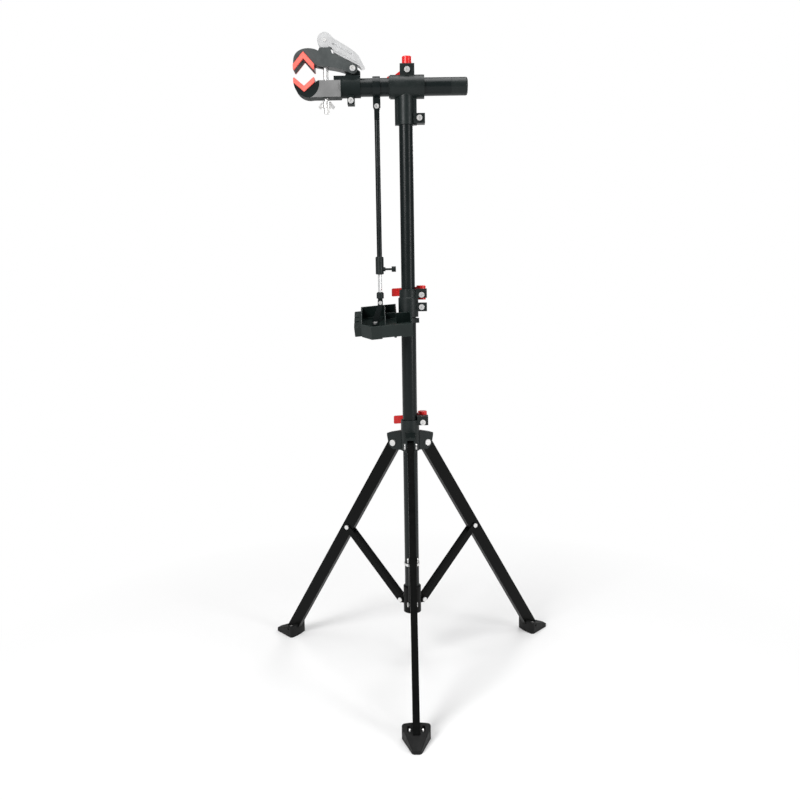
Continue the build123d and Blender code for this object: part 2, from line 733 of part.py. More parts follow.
def v_strip(apex, edge, thick):
    """A V-shaped strip round the grip, thick on the side away from the opening."""
    outward = -1.0 if apex < edge else 1.0
    slope = hypot(PAD_WIDE, edge - apex) / PAD_WIDE
    drop = outward * thick * slope
    left = GRIP_X - PAD_WIDE
    right = GRIP_X + PAD_WIDE
    return [
        (left, edge),
        (GRIP_X, apex),
        (right, edge),
        (right, edge + drop),
        (GRIP_X, apex + drop),
        (left, edge + drop),
    ]


with BuildPart() as lower_jaw:
    with BuildSketch(along_arm(JAW_RIGHT)):
        Circle(SOCKET_R)
    extrude(amount=SOCKET_RIGHT - JAW_RIGHT)
    with BuildSketch(jaw_plane):
        with BuildLine():
            pad = v_strip(LOWER_APEX, LOWER_EDGE, PAD_THICK)
            Polyline(
                pad[5],
                pad[4],
                pad[3],
                (GRIP_X + PAD_WIDE + 8.0, JAW_TOP),
                (JAW_RIGHT + 6.0, JAW_TOP),
                (JAW_RIGHT + 6.0, JAW_LOW + 6.0),
                (JAW_RIGHT + 2.0, JAW_LOW),
                (GRIP_X + 18.0, JAW_LOW),
            )
            ThreePointArc((GRIP_X + 18.0, JAW_LOW), (GRIP_X - 13.0, JAW_LOW + 9.0), (JAW_LEFT, 5.0))
            Line((JAW_LEFT, 5.0), pad[5])
        make_face()
    extrude(amount=JAW_HALF, both=True)
    with BuildSketch(jaw_plane):
        with BuildLine():
            Polyline(
                (PLATE_LEFT, JAW_TOP - 1.0),
                (PLATE_LEFT, PLATE_TOP),
                (SOCKET_RIGHT, PLATE_TOP),
                (SOCKET_RIGHT, JAW_TOP - 1.0),
                close=True,
            )
        make_face()
    extrude(amount=PLATE_HALF, both=True)
    with BuildSketch(jaw_plane):
        with BuildLine():
            Polyline(
                (SOCKET_RIGHT, 15.0),
                (SOCKET_RIGHT, HINGE_Z - 4.0),
                (HINGE_X + HINGE_R, HINGE_Z),
                (HINGE_X - HINGE_R, HINGE_Z),
                (HINGE_X - HINGE_R - 8.0, PLATE_TOP),
                (HINGE_X - HINGE_R - 8.0, 15.0),
                close=True,
            )
        make_face()
        with Locations((HINGE_X, HINGE_Z)):
            Circle(HINGE_R - 1.0)
    extrude(amount=HINGE_EAR / 2, both=True)
    with BuildSketch(along_arm(SOCKET_RIGHT - 30.0)):
        with Locations((0, -SOCKET_R - 4.0)):
            Rectangle(2 * LUG_HALF, 24.0)
    extrude(amount=16.0)
    with BuildSketch(along_arm(JAW_RIGHT)):
        Circle(ARM_R + FIT)
    extrude(amount=SOCKET_RIGHT - JAW_RIGHT, mode=Mode.SUBTRACT)
    with BuildSketch(along_arm(JAW_RIGHT)):
        Circle(ARM_R + FIT)
    extrude(amount=JAW_RIGHT + 6.5 - JAW_RIGHT, mode=Mode.SUBTRACT)
    with BuildSketch(along_arm(JAW_RIGHT + 7.0)):
        with Locations((0, -SOCKET_R - 10.0)):
            Rectangle(SLOT, 40.0)
    extrude(amount=60.0, mode=Mode.SUBTRACT)
    with BuildSketch(Plane.XZ):
        with Locations((SOCKET_RIGHT - 22.0, ARM_Z - SOCKET_R - 8.0)):
            Circle(BOLT_R + FIT)
    extrude(amount=LUG_HALF + 1.0, both=True, mode=Mode.SUBTRACT)
    with BuildSketch(Plane.XZ):
        with Locations((HINGE_X, ARM_Z + HINGE_Z)):
            Circle(PIVOT_BOLT_R + FIT)
    extrude(amount=JAW_HALF, both=True, mode=Mode.SUBTRACT)
    with BuildSketch(Plane(origin=(STUD_X, 0, ARM_Z - 40.0))):
        Circle(STUD_R + RUN)
    extrude(amount=90.0, mode=Mode.SUBTRACT)
save(lower_jaw, "lower_jaw")

head_bolt = cross_bolt(SOCKET_RIGHT - 22.0, ARM_Z - SOCKET_R - 8.0, -LUG_HALF, LUG_HALF)
save(head_bolt, "head_pinch_bolt")

for name, apex, edge in (("lower_pad", LOWER_APEX, LOWER_EDGE), ("upper_pad", UPPER_APEX, UPPER_EDGE)):
    with BuildPart() as grip_pad:
        with BuildSketch(jaw_plane):
            with BuildLine():
                Polyline(*v_strip(apex, edge, PAD_THICK), close=True)
            make_face()
        extrude(amount=PAD_HALF, both=True)
        fillet(grip_pad.edges().filter_by(Axis.Y).sort_by(Axis.X)[:2], 2.0)
        fillet(grip_pad.edges().filter_by(Axis.Y).sort_by(Axis.X)[-2:], 2.0)
    save(grip_pad, name)

saddle = CAM_TOP - CAM_DISC - 0.4
with BuildPart() as upper_jaw:
    with BuildSketch(jaw_plane):
        with BuildLine():
            pad = v_strip(UPPER_APEX, UPPER_EDGE, PAD_THICK)
            Polyline(pad[3], pad[4], pad[5])
            Line(pad[5], (JAW_LEFT, UPPER_EDGE + 23.0))
            Spline(
                (JAW_LEFT, UPPER_EDGE + 23.0),
                (JAW_LEFT + 11.0, 77.0),
                (GRIP_X, 82.0),
                (STUD_X - 15.0, 77.5),
            )
            Polyline((STUD_X - 15.0, 77.5), (STUD_X - 12.0, saddle), (STUD_X + 12.0, saddle))
            Line((STUD_X + 12.0, saddle), (STUD_X + 16.0, 71.5))
            Spline((STUD_X + 16.0, 71.5), (-138.0, 60.5), (HINGE_X - 2.0, HINGE_Z + HINGE_R - 0.3))
            Line((HINGE_X - 2.0, HINGE_Z + HINGE_R - 0.3), (HINGE_X + 6.0, HINGE_Z - HINGE_R + 2.0))
            Line((HINGE_X + 6.0, HINGE_Z - HINGE_R + 2.0), (HINGE_X - 5.0, HINGE_Z - HINGE_R + 1.0))
            Spline((HINGE_X - 5.0, HINGE_Z - HINGE_R + 1.0), (-150.0, 38.5), (-178.0, 43.5), pad[3])
        make_face()
        with Locations((HINGE_X, HINGE_Z)):
            Circle(HINGE_R)
    extrude(amount=JAW_HALF - 2.0, both=True)
    with BuildSketch(jaw_plane):
        with Locations((HINGE_X + 3.0, HINGE_Z + 4.0)):
            Rectangle(44.0, 60.0)
    extrude(amount=HINGE_EAR / 2 + SIDE, both=True, mode=Mode.SUBTRACT)
    with BuildSketch(Plane(origin=(STUD_X - 6.0, 0, ARM_Z + 30.0))):
        SlotOverall(2 * (STUD_R + 0.6) + 13.0, 2 * (STUD_R + 0.6))
    extrude(amount=80.0, mode=Mode.SUBTRACT)
    with BuildSketch(jaw_plane):
        with Locations((HINGE_X, HINGE_Z)):
            Circle(PIVOT_BOLT_R + RUN)
    extrude(amount=JAW_HALF, both=True, mode=Mode.SUBTRACT)
save(upper_jaw, "upper_jaw")

jaw_pivot_bolt = cross_bolt(HINGE_X, ARM_Z + HINGE_Z, 2.0 - JAW_HALF - SIDE, JAW_HALF - 2.0 + SIDE, PIVOT_BOLT_R)
save(jaw_pivot_bolt, "jaw_pivot_bolt")

# ---- cam clamp -----------------------------------------------------------------------------------------------
with BuildPart() as clamp_stud:
    with BuildSketch(Plane(origin=(STUD_X, 0, ARM_Z + STUD_LOW))):
        Circle(STUD_R)
    extrude(amount=CAM_TOP - STUD_LOW)
    with BuildSketch(across(STUD_X, ARM_Z + CAM_TOP)):
        Circle(STUD_R + 1.5)
    extrude(amount=STUD_R - 0.5, both=True)
    with BuildSketch(across(STUD_X, ARM_Z + CAM_TOP)):
        Circle(PIVOT_BOLT_R + FIT)
    extrude(amount=STUD_R + 1.0, both=True, mode=Mode.SUBTRACT)
    chamfer(clamp_stud.edges().group_by(Axis.Z)[0], 1.0)
save(clamp_stud, "clamp_stud")

with BuildPart() as cam_pin:
    with BuildSketch(across(STUD_X, ARM_Z + CAM_TOP)):
        Circle(PIVOT_BOLT_R)
    extrude(amount=CAM_HALF + 1.0, both=True)
save(cam_pin, "cam_pin")

handle_run = hypot(HANDLE_X - STUD_X, HANDLE_Z - CAM_TOP)
handle_way = Vector(HANDLE_X - STUD_X, 0, HANDLE_Z - CAM_TOP).normalized()
cam_plane = Plane(origin=(STUD_X, 0, ARM_Z + CAM_TOP), x_dir=handle_way, z_dir=(0, -1, 0))
tip_top = (handle_run - 7.0, 7.0)
tip_end = (handle_run + 6.0, 0.6)
tip_under = (handle_run + 1.0, -6.4)
with BuildPart() as cam_lever:
    with BuildSketch(cam_plane):
        Circle(CAM_DISC)
        with BuildLine():
            Spline((0.0, CAM_DISC), (14.0, 14.2), (38.0, 15.2), (65.0, 15.6), (82.0, 12.8), tip_top, tip_end)
            Polyline(tip_end, tip_under, (tip_under[0] - 5.0, tip_under[1] + 1.6))
            Spline((tip_under[0] - 5.0, tip_under[1] + 1.6), (85.0, -5.8), (58.0, -9.0), (29.0, -11.2))
            Polyline((29.0, -11.2), (22.0, -5.0), (13.0, -7.0), (0.0, -CAM_DISC + 4.0), (0.0, CAM_DISC))
        make_face()
    extrude(amount=CAM_HALF, both=True)
    with BuildSketch(cam_plane):
        with BuildLine():
            Polyline(
                (15.0, CAM_DISC + 5.0),
                (15.0, -CAM_DISC - 5.0),
                (-CAM_DISC - 5.0, -CAM_DISC - 5.0),
                (-CAM_DISC - 5.0, CAM_DISC + 5.0),
                close=True,
            )
        make_face()
    extrude(amount=STUD_R + SIDE, both=True, mode=Mode.SUBTRACT)
    for side in (-1, 1):
        with BuildSketch(cam_plane.offset(side * (CAM_HALF - GROOVE_DEEP))):
            with BuildLine():
                Polyline((18.0, 5.6), (18.0, 0.8), (70.0, 6.2), (70.0, 8.4), close=True)
            make_face()
            with BuildLine():
                Polyline(
                    (21.0, -7.4),
                    (52.0, -4.2),
                    (80.0, -1.4),
                    (96.0, -2.2),
                    (80.0, -3.4),
                    (52.0, -6.4),
                    (21.0, -9.8),
                    close=True,
                )
            make_face()
        extrude(amount=side * (GROOVE_DEEP + 1.0), mode=Mode.SUBTRACT)
    with BuildSketch(jaw_plane):
        with Locations((HINGE_X, HINGE_Z)):
            Circle(HINGE_R + 0.8)
    extrude(amount=CAM_HALF + 1.0, both=True, mode=Mode.SUBTRACT)
    with BuildSketch(cam_plane):
        Circle(PIVOT_BOLT_R + RUN)
    extrude(amount=CAM_HALF + 1.0, both=True, mode=Mode.SUBTRACT)
save(cam_lever, "cam_lever")

with BuildPart() as wing_nut:
    with BuildSketch(Plane(origin=(STUD_X, 0, ARM_Z + WING_LOW))):
        Circle(STUD_R + 4.0)
    extrude(amount=-30.3 - WING_LOW)
    with BuildSketch(across(STUD_X, ARM_Z)):
        for side in (-1, 1):
            with BuildLine():
                Polyline(
                    (side * 5.0, -31.0),
                    (side * 11.0, -31.5),
                    (side * WING_HALF, -41.0),
                    (side * (WING_HALF - 4.0), -46.5),
                    (side * 9.5, -41.5),
                    (side * 5.0, -43.5),
                    close=True,
                )
            make_face()
    extrude(amount=2.0, both=True)
    with BuildSketch(Plane(origin=(STUD_X, 0, ARM_Z + WING_LOW - 1.0))):
        Circle(STUD_R + RUN)
    extrude(amount=20.0, mode=Mode.SUBTRACT)
save(wing_nut, "wing_nut")

# ---- hanging rod ---------------------------------------------------------------------------------------------
with BuildPart() as hanger_strap:
    with BuildSketch(along_arm(ROD_X - STRAP_WIDE / 2)):
        Circle(ARM_R + 0.4 + STRAP_THICK)
        with Locations((0, -ARM_R - 12.0)):
            Rectangle(12.0, 24.0)
    extrude(amount=STRAP_WIDE)
    with BuildSketch(across(ROD_X, KNUCKLE_Z)):
        Circle(KNUCKLE_R)
    extrude(amount=6.0, both=True)
    with BuildSketch(along_arm(ROD_X - STRAP_WIDE)):
        Circle(ARM_R + 0.4)
    extrude(amount=2 * STRAP_WIDE, mode=Mode.SUBTRACT)
    with BuildSketch(across(ROD_X, KNUCKLE_Z)):
        Circle(BOLT_R + FIT)
    extrude(amount=10.0, both=True, mode=Mode.SUBTRACT)
save(hanger_strap, "hanger_strap")

fork_in = 6.0 + FIT
fork_out = 9.0
save(cross_bolt(ROD_X, KNUCKLE_Z, -fork_out, fork_out, BOLT_R, 5.5), "hanger_bolt")

with BuildPart() as outer_rod:
    with BuildSketch(Plane(origin=(ROD_X, 0, ROD_LOW))):
        Circle(ROD_R)
    extrude(amount=ROD_TOP - 14.0 - ROD_LOW)
    with BuildSketch(across(ROD_X, KNUCKLE_Z)):
        Circle(KNUCKLE_R - 0.5)
        with Locations((0, -14.0)):
            Rectangle(2 * ROD_R, 28.0)
    extrude(amount=fork_out, both=True)
    with BuildSketch(across(ROD_X, KNUCKLE_Z)):
        with Locations((0, 4.0)):
            Rectangle(40.0, 26.0)
    extrude(amount=fork_in, both=True, mode=Mode.SUBTRACT)
    with BuildSketch(across(ROD_X, KNUCKLE_Z)):
        Circle(BOLT_R + FIT)
    extrude(amount=10.0, both=True, mode=Mode.SUBTRACT)
    with BuildSketch(Plane(origin=(ROD_X, 0, ROD_LOW))):
        Circle(ROD_BORE)
    extrude(amount=INNER_TOP + 40.0 - ROD_LOW, mode=Mode.SUBTRACT)
save(outer_rod, "outer_rod")

with BuildPart() as rod_coupling:
    with BuildSketch(Plane(origin=(ROD_X, 0, COUPLING_LOW))):
        Circle(COUPLING_R)
    extrude(amount=COUPLING_HIGH - COUPLING_LOW)
    chamfer(rod_coupling.edges().group_by(Axis.Z)[-1], 1.5)
    chamfer(rod_coupling.edges().group_by(Axis.Z)[0], 1.5)
    with BuildSketch(Plane(origin=(ROD_X + COUPLING_R - 2.0, 0, THUMB_Z), z_dir=(1, 0, 0))):
        Circle(5.0)
    extrude(amount=6.0)
    with BuildSketch(Plane(origin=(ROD_X, 0, ROD_LOW))):
        Circle(ROD_R + FIT)
    extrude(amount=COUPLING_HIGH - ROD_LOW, mode=Mode.SUBTRACT)
    with BuildSketch(Plane(origin=(ROD_X, 0, COUPLING_LOW))):
        Circle(INNER_R + 0.1)
    extrude(amount=COUPLING_HIGH - COUPLING_LOW, mode=Mode.SUBTRACT)
    with BuildSketch(Plane(origin=(ROD_X + INNER_R, 0, THUMB_Z), z_dir=(1, 0, 0))):
        Circle(BOLT_R - 0.5 + RUN)
    extrude(amount=20.0, mode=Mode.SUBTRACT)
save(rod_coupling, "rod_coupling")

with BuildPart() as thumb_screw:
    with BuildSketch(Plane(origin=(ROD_X + INNER_R + 0.4, 0, THUMB_Z), z_dir=(1, 0, 0))):
        Circle(BOLT_R - 0.5)
    extrude(amount=THUMB_END - 9.0 - ROD_X - INNER_R)
    with BuildSketch(Plane(origin=(THUMB_END - 10.0, 0, THUMB_Z), z_dir=(1, 0, 0))):
        Circle(6.5)
        with PolarLocations(6.5, 8):
            Circle(1.0, mode=Mode.SUBTRACT)
    extrude(amount=10.0)
save(thumb_screw, "thumb_screw")

with BuildPart() as inner_rod:
    with BuildSketch(Plane(origin=(ROD_X, 0, END_Z + 10.0))):
        Circle(INNER_R)
    extrude(amount=INNER_TOP - END_Z - 10.0)
save(inner_rod, "inner_rod")

with BuildPart() as rod_end:
    with BuildSketch(Plane(origin=(ROD_X, 0, END_Z + 10.0))):
        Circle(END_R)
    extrude(amount=END_TOP - END_Z - 10.0)
    chamfer(rod_end.edges().group_by(Axis.Z)[-1], 2.5)
    with BuildSketch(across(ROD_X, END_Z)):
        with Locations((0, 5.0)):
            Rectangle(11.0, 12.0)
        Circle(5.5)
    extrude(amount=4.0, both=True)
    with BuildSketch(Plane(origin=(ROD_X, 0, END_Z + 10.0))):
        Circle(INNER_R + FIT)
    extrude(amount=20.0, mode=Mode.SUBTRACT)
    with BuildSketch(across(ROD_X, END_Z)):
        Circle(2.5 + FIT)
    extrude(amount=10.0, both=True, mode=Mode.SUBTRACT)
save(rod_end, "rod_end")

# ---- tray ------------------------------------------------------------------------------------------------------
lean = radians(TRAY_TILT)
roll = radians(TRAY_ROLL)
tray_along = (cos(roll), 0, sin(roll))
tray_up = (-cos(lean) * sin(roll), -sin(lean), cos(lean) * cos(roll))


def tray_plane(height):
    """The tray's own level at a height above the underside of its floor."""
    origin = (tray_up[0] * height, tray_up[1] * height, TRAY_Z + tray_up[2] * height)
    return Plane(origin=origin, x_dir=tray_along, z_dir=tray_up)


def tray_outline(inset):
    """Corners of the tray in plan, moved inward by a wall."""
    return [
        (TRAY_RIGHT - inset, TRAY_FRONT + inset),
        (TRAY_LEFT + TRAY_CORNER + inset * 0.5, TRAY_FRONT + inset),
        (TRAY_LEFT + inset, TRAY_FRONT + TRAY_CORNER + inset * 0.5),
        (TRAY_LEFT + inset, TRAY_BACK - inset),
        (-TRAY_NOTCH - inset, TRAY_BACK - inset),
        (-TRAY_NOTCH - inset, -TRAY_NOTCH - inset),
        (TRAY_RIGHT - inset, -TRAY_NOTCH - inset),
    ]


BRACKET_U = ROD_X - 12.0
bracket_holes = [(BRACKET_U, -18.0), (BRACKET_U, 8.0)]
with BuildPart() as tray_body:
    with BuildSketch(tray_plane(0.0)):
        with BuildLine():
            Polyline(*tray_outline(0.0), close=True)
        make_face()
    extrude(amount=TRAY_HIGH)
    with BuildSketch(tray_plane(TRAY_FLOOR)):
        with BuildLine():
            Polyline(*tray_outline(TRAY_WALL), close=True)
        make_face()
    extrude(amount=TRAY_HIGH, mode=Mode.SUBTRACT)
    with BuildSketch(tray_plane(TRAY_FLOOR - 1.0)):
        with Locations((DIVIDER_U, (TRAY_FRONT + TRAY_BACK) / 2)):
            Rectangle(TRAY_WALL, TRAY_BACK - TRAY_FRONT - 2.0)
    extrude(amount=TRAY_HIGH - TRAY_FLOOR)
    block_left = DIVIDER_U + 0.5
    with BuildSketch(tray_plane(TRAY_FLOOR - 1.0)):
        with Locations(((block_left + TRAY_RIGHT - 1.0) / 2, (TRAY_FRONT + 1.0 + STEP_V) / 2)):
            Rectangle(TRAY_RIGHT - 1.0 - block_left, STEP_V - TRAY_FRONT - 1.0)
    extrude(amount=STEP_HIGH)
    with BuildSketch(tray_plane(TRAY_FLOOR - 1.0)):
        with Locations(((block_left - TRAY_NOTCH - 1.0) / 2, (STEP_V + STEP_BACK) / 2)):
            Rectangle(-TRAY_NOTCH - 1.0 - block_left, STEP_BACK - STEP_V)
    extrude(amount=STEP_HIGH - 6.0)
    with BuildSketch(tray_plane(TRAY_FLOOR - 1.0)):
        with Locations(((block_left - TRAY_NOTCH - 1.0) / 2, STEP_BACK)):
            Rectangle(-TRAY_NOTCH - 1.0 - block_left, TRAY_WALL)
    extrude(amount=TRAY_HIGH - 8.0)
    with BuildSketch(tray_plane(TRAY_FLOOR + 2.0)):
        with Locations(((block_left + TRAY_RIGHT) / 2, (TRAY_FRONT + STEP_V) / 2)):
            SlotOverall(44.0, 24.0)
    extrude(amount=STEP_HIGH, mode=Mode.SUBTRACT)
    comb_front = TRAY_FRONT + TRAY_CORNER + 4.0
    comb_back = TRAY_BACK - 4.0
    comb_mid = TRAY_LEFT - COMB_OUT / 2 + 0.5
    comb_level = TRAY_HIGH - COMB_DROP
    with BuildSketch(tray_plane(comb_level - COMB_THICK)):
        with Locations((comb_mid, (comb_front + comb_back) / 2)):
            Rectangle(COMB_OUT + 1.0, comb_back - comb_front)
    extrude(amount=COMB_THICK)
    with BuildSketch(tray_plane(0.0)):
        with Locations((comb_mid, (comb_front - 46.0) / 2)):
            Rectangle(COMB_OUT + 1.0, -46.0 - comb_front)
    extrude(amount=comb_level)
    fillet(tray_body.edges().filter_by(Axis(origin=(0, 0, 0), direction=tray_up)).sort_by(Axis.X)[:3], 3.0)
    with BuildSketch(tray_plane(-1.0)):
        with Locations((TRAY_LEFT - COMB_OUT + 5.5, -9.0), (TRAY_LEFT - COMB_OUT + 5.5, -38.0)):
            Rectangle(13.0, COMB_SLOT)
        with Locations((-49.5, TRAY_FRONT + 2.5)):
            Rectangle(27.0, 7.0)
        with Locations((-24.0, TRAY_FRONT + 2.5)):
            Rectangle(13.5, 7.0)
    extrude(amount=DRAIN_HIGH + 1.0, mode=Mode.SUBTRACT)
    with BuildSketch(tray_plane(DRAIN_HIGH - 1.0)):
        with Locations((TRAY_LEFT - COMB_OUT + 5.5, -9.0), (TRAY_LEFT - COMB_OUT + 5.5, -38.0)):
            Rectangle(13.0, COMB_SLOT)
    extrude(amount=TRAY_HIGH, mode=Mode.SUBTRACT)
    with BuildSketch(tray_plane(0.0)):
        with Locations((-(RING_R + TRAY_NOTCH) / 2 - 1.0, 0)):
            Rectangle(TRAY_NOTCH - RING_R + 6.0, 14.0)
    extrude(amount=7.0)
    with BuildSketch(Plane.XY.offset(TRAY_Z - 20.0)):
        Circle(RING_R + FIT)
    extrude(amount=50.0, mode=Mode.SUBTRACT)
    with BuildSketch(tray_plane(-1.0)):
        with Locations(bracket_holes[0], bracket_holes[1]):
            Circle(2.0 + FIT)
    extrude(amount=TRAY_FLOOR + 2.0, mode=Mode.SUBTRACT)
save(tray_body, "tray_body")

with BuildPart() as tray_ring:
    with BuildSketch(Plane.XY.offset(RING_LOW)):
        Circle(RING_R)
        with Locations((RING_R - 6.0, 0)):
            Rectangle(16.0, 16.0)
    extrude(amount=RING_HIGH - RING_LOW)
    with BuildSketch(Plane.XY.offset(RING_LOW - 1.0)):
        Circle(MID_R + RUN)
    extrude(amount=RING_HIGH - RING_LOW + 2.0, mode=Mode.SUBTRACT)
save(tray_ring, "tray_ring")

plate_z = TRAY_Z + TRAY_FLOOR + 1.2 + BRACKET_U * tan(roll) - 5.3 * tan(lean) / cos(roll)
with BuildPart() as end_bracket:
    with BuildSketch(tray_plane(TRAY_FLOOR + FIT)):
        with Locations((BRACKET_U, -5.0)):
            Rectangle(15.0, 42.0)
    extrude(amount=2.5)
    with BuildSketch(across(0, 0, -4.0 - FIT)):
        with BuildLine():
            Polyline(
                (BRACKET_U - 7.5, plate_z),
                (BRACKET_U + 7.5, plate_z),
                (ROD_X + 6.0, END_Z - 4.0),
                (ROD_X + 6.0, END_Z + 6.0),
                (ROD_X - 6.0, END_Z + 6.0),
                (ROD_X - 6.0, END_Z - 4.0),
                close=True,
            )
        make_face()
    extrude(amount=2.5)
    with BuildSketch(across(ROD_X, END_Z)):
        Circle(2.5 + FIT)
    extrude(amount=20.0, both=True, mode=Mode.SUBTRACT)
    with BuildSketch(tray_plane(-1.0)):
        with Locations(bracket_holes[0], bracket_holes[1]):
            Circle(2.0 + FIT)
    extrude(amount=12.0, mode=Mode.SUBTRACT)
save(end_bracket, "end_bracket")

with BuildPart() as end_pin:
    with BuildSketch(across(ROD_X, END_Z, -6.6)):
        Circle(2.5)
    extrude(amount=-10.6)
    with BuildSketch(across(ROD_X, END_Z, -6.6)):
        Circle(4.5)
    extrude(amount=2.5)
save(end_pin, "rod_end_pin")

with BuildPart() as bracket_bolts:
    with BuildSketch(tray_plane(-3.0)):
        with Locations(bracket_holes[0], bracket_holes[1]):
            RegularPolygon(3.8, 6)
    extrude(amount=3.0)
    with BuildSketch(tray_plane(-0.5)):
        with Locations(bracket_holes[0], bracket_holes[1]):
            Circle(2.0)
    extrude(amount=TRAY_FLOOR + 4.0)
    with BuildSketch(tray_plane(TRAY_FLOOR + 2.5 + FIT)):
        with Locations(bracket_holes[0], bracket_holes[1]):
            Circle(4.5)
    extrude(amount=3.0)
save(bracket_bolts, "bracket_bolts")
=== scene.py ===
"""A folding tripod repair stand for bicycles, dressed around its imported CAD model.

Places are in metres with +Z up, and come from the frame's own boxes. Every CAD node is
shown as it is, so the script makes the finishes, the studio and the camera.
"""

import json
from math import radians

import bmesh
import bpy
from mathutils import Matrix, Vector


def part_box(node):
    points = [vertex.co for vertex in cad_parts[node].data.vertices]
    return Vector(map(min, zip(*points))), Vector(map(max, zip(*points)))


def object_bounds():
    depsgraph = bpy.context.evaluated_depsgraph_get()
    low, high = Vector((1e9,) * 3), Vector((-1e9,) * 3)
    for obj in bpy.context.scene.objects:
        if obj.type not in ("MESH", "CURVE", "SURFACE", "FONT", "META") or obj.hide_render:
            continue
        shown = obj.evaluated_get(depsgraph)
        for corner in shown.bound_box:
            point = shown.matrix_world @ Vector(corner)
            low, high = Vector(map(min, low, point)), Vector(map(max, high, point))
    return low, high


MM = 0.001
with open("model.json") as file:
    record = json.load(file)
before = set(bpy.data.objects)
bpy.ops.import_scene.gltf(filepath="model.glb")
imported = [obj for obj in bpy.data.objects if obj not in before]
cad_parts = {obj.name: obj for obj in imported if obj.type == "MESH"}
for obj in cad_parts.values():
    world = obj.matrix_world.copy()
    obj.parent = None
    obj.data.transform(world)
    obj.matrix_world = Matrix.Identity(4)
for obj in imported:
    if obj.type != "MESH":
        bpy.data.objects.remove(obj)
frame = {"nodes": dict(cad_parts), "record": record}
CAD_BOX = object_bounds()

# ---------------------------------------------------------------- finishes

BEVEL_SAMPLES = 4
PATCH_SPAN = (0.35, 0.65)  # the noise values between which one colour gives way to the other
WEAR_SPAN = (0.45, 0.62)
GLOSS_SPAN = (0.3, 0.7)
WORN_LEAN = (0.02, 0.12)  # how far the rounded normal leans where wear starts and where it is full
RIM_LEAN = (0.01, 0.16)


def add_node(tree, kind, inputs=None, **settings):
    """A new shader node. inputs maps a socket's name to a value or to another node's output."""
    made = tree.nodes.new(kind)
    for key, value in settings.items():
        setattr(made, key, value)
    for key, value in (inputs or {}).items():
        if isinstance(value, bpy.types.NodeSocket):
            tree.links.new(value, made.inputs[key])
        else:
            made.inputs[key].default_value = value
    return made


def noise(tree, place, size, detail=3.0):
    """Noise with features about `size` metres across."""
    inputs = {"Vector": place, "Scale": 1 / size, "Detail": detail, "Roughness": 0.55}
    return add_node(tree, "ShaderNodeTexNoise", inputs).outputs["Fac"]


def ranged(tree, value, low, high, to_low, to_high):
    """value from low..high mapped to to_low..to_high, held at both ends."""
    return add_node(
        tree,
        "ShaderNodeMapRange",
        {"Value": value, "From Min": low, "From Max": high, "To Min": to_low, "To Max": to_high},
    ).outputs["Result"]


def mixed(tree, factor, first, second):
    """Colour mixed from first to second by factor."""
    mix = add_node(tree, "ShaderNodeMix", data_type="RGBA")
    for socket, value in ((mix.inputs[0], factor), (mix.inputs[6], first), (mix.inputs[7], second)):
        if isinstance(value, bpy.types.NodeSocket):
            tree.links.new(value, socket)
        elif socket is mix.inputs[0]:
            socket.default_value = value
        else:
            socket.default_value = (*value, 1) if len(value) == 3 else value
    return mix.outputs[2]


def edge_mask(tree, rounded, low, high):
    """0 on open faces and 1 along outer edges, from how far the rounded normal leans."""
    flat = add_node(tree, "ShaderNodeNewGeometry").outputs["Normal"]
    lean = add_node(tree, "ShaderNodeVectorMath", {0: rounded, 1: flat}, operation="DOT_PRODUCT")
    return ranged(tree, lean.outputs["Value"], 1 - low, 1 - high, 0, 1)


def product(tree, first, second):
    """Two factors multiplied."""
    return add_node(tree, "ShaderNodeMath", {0: first, 1: second}, operation="MULTIPLY").outputs["Value"]


def inside_box(tree, place, low, high):
    """1 between two corners of the object's own space, 0 outside them. None leaves a side open."""
    axes = add_node(tree, "ShaderNodeSeparateXYZ", {0: place})
    mask = None
    for axis in range(3):
        for limit, operation in ((low[axis], "GREATER_THAN"), (high[axis], "LESS_THAN")):
            if limit is None:
                continue
            values = {0: axes.outputs[axis], 1: limit}
            test = add_node(tree, "ShaderNodeMath", values, operation=operation)
            if mask is None:
                mask = test.outputs["Value"]
            else:
                mask = product(tree, mask, test.outputs["Value"])
    return mask


def outside_round(tree, place, centre, radius):
    """1 beyond radius from a line along Y through centre, 0 inside it."""
    level = add_node(tree, "ShaderNodeVectorMath", {0: place, 1: (1, 0, 1)}, operation="MULTIPLY")
    ends = {0: level.outputs["Vector"], 1: (centre[0], 0, centre[2])}
    apart = add_node(tree, "ShaderNodeVectorMath", ends, operation="DISTANCE").outputs["Value"]
    beyond = add_node(tree, "ShaderNodeMath", {0: apart, 1: radius}, operation="GREATER_THAN")
    return beyond.outputs["Value"]


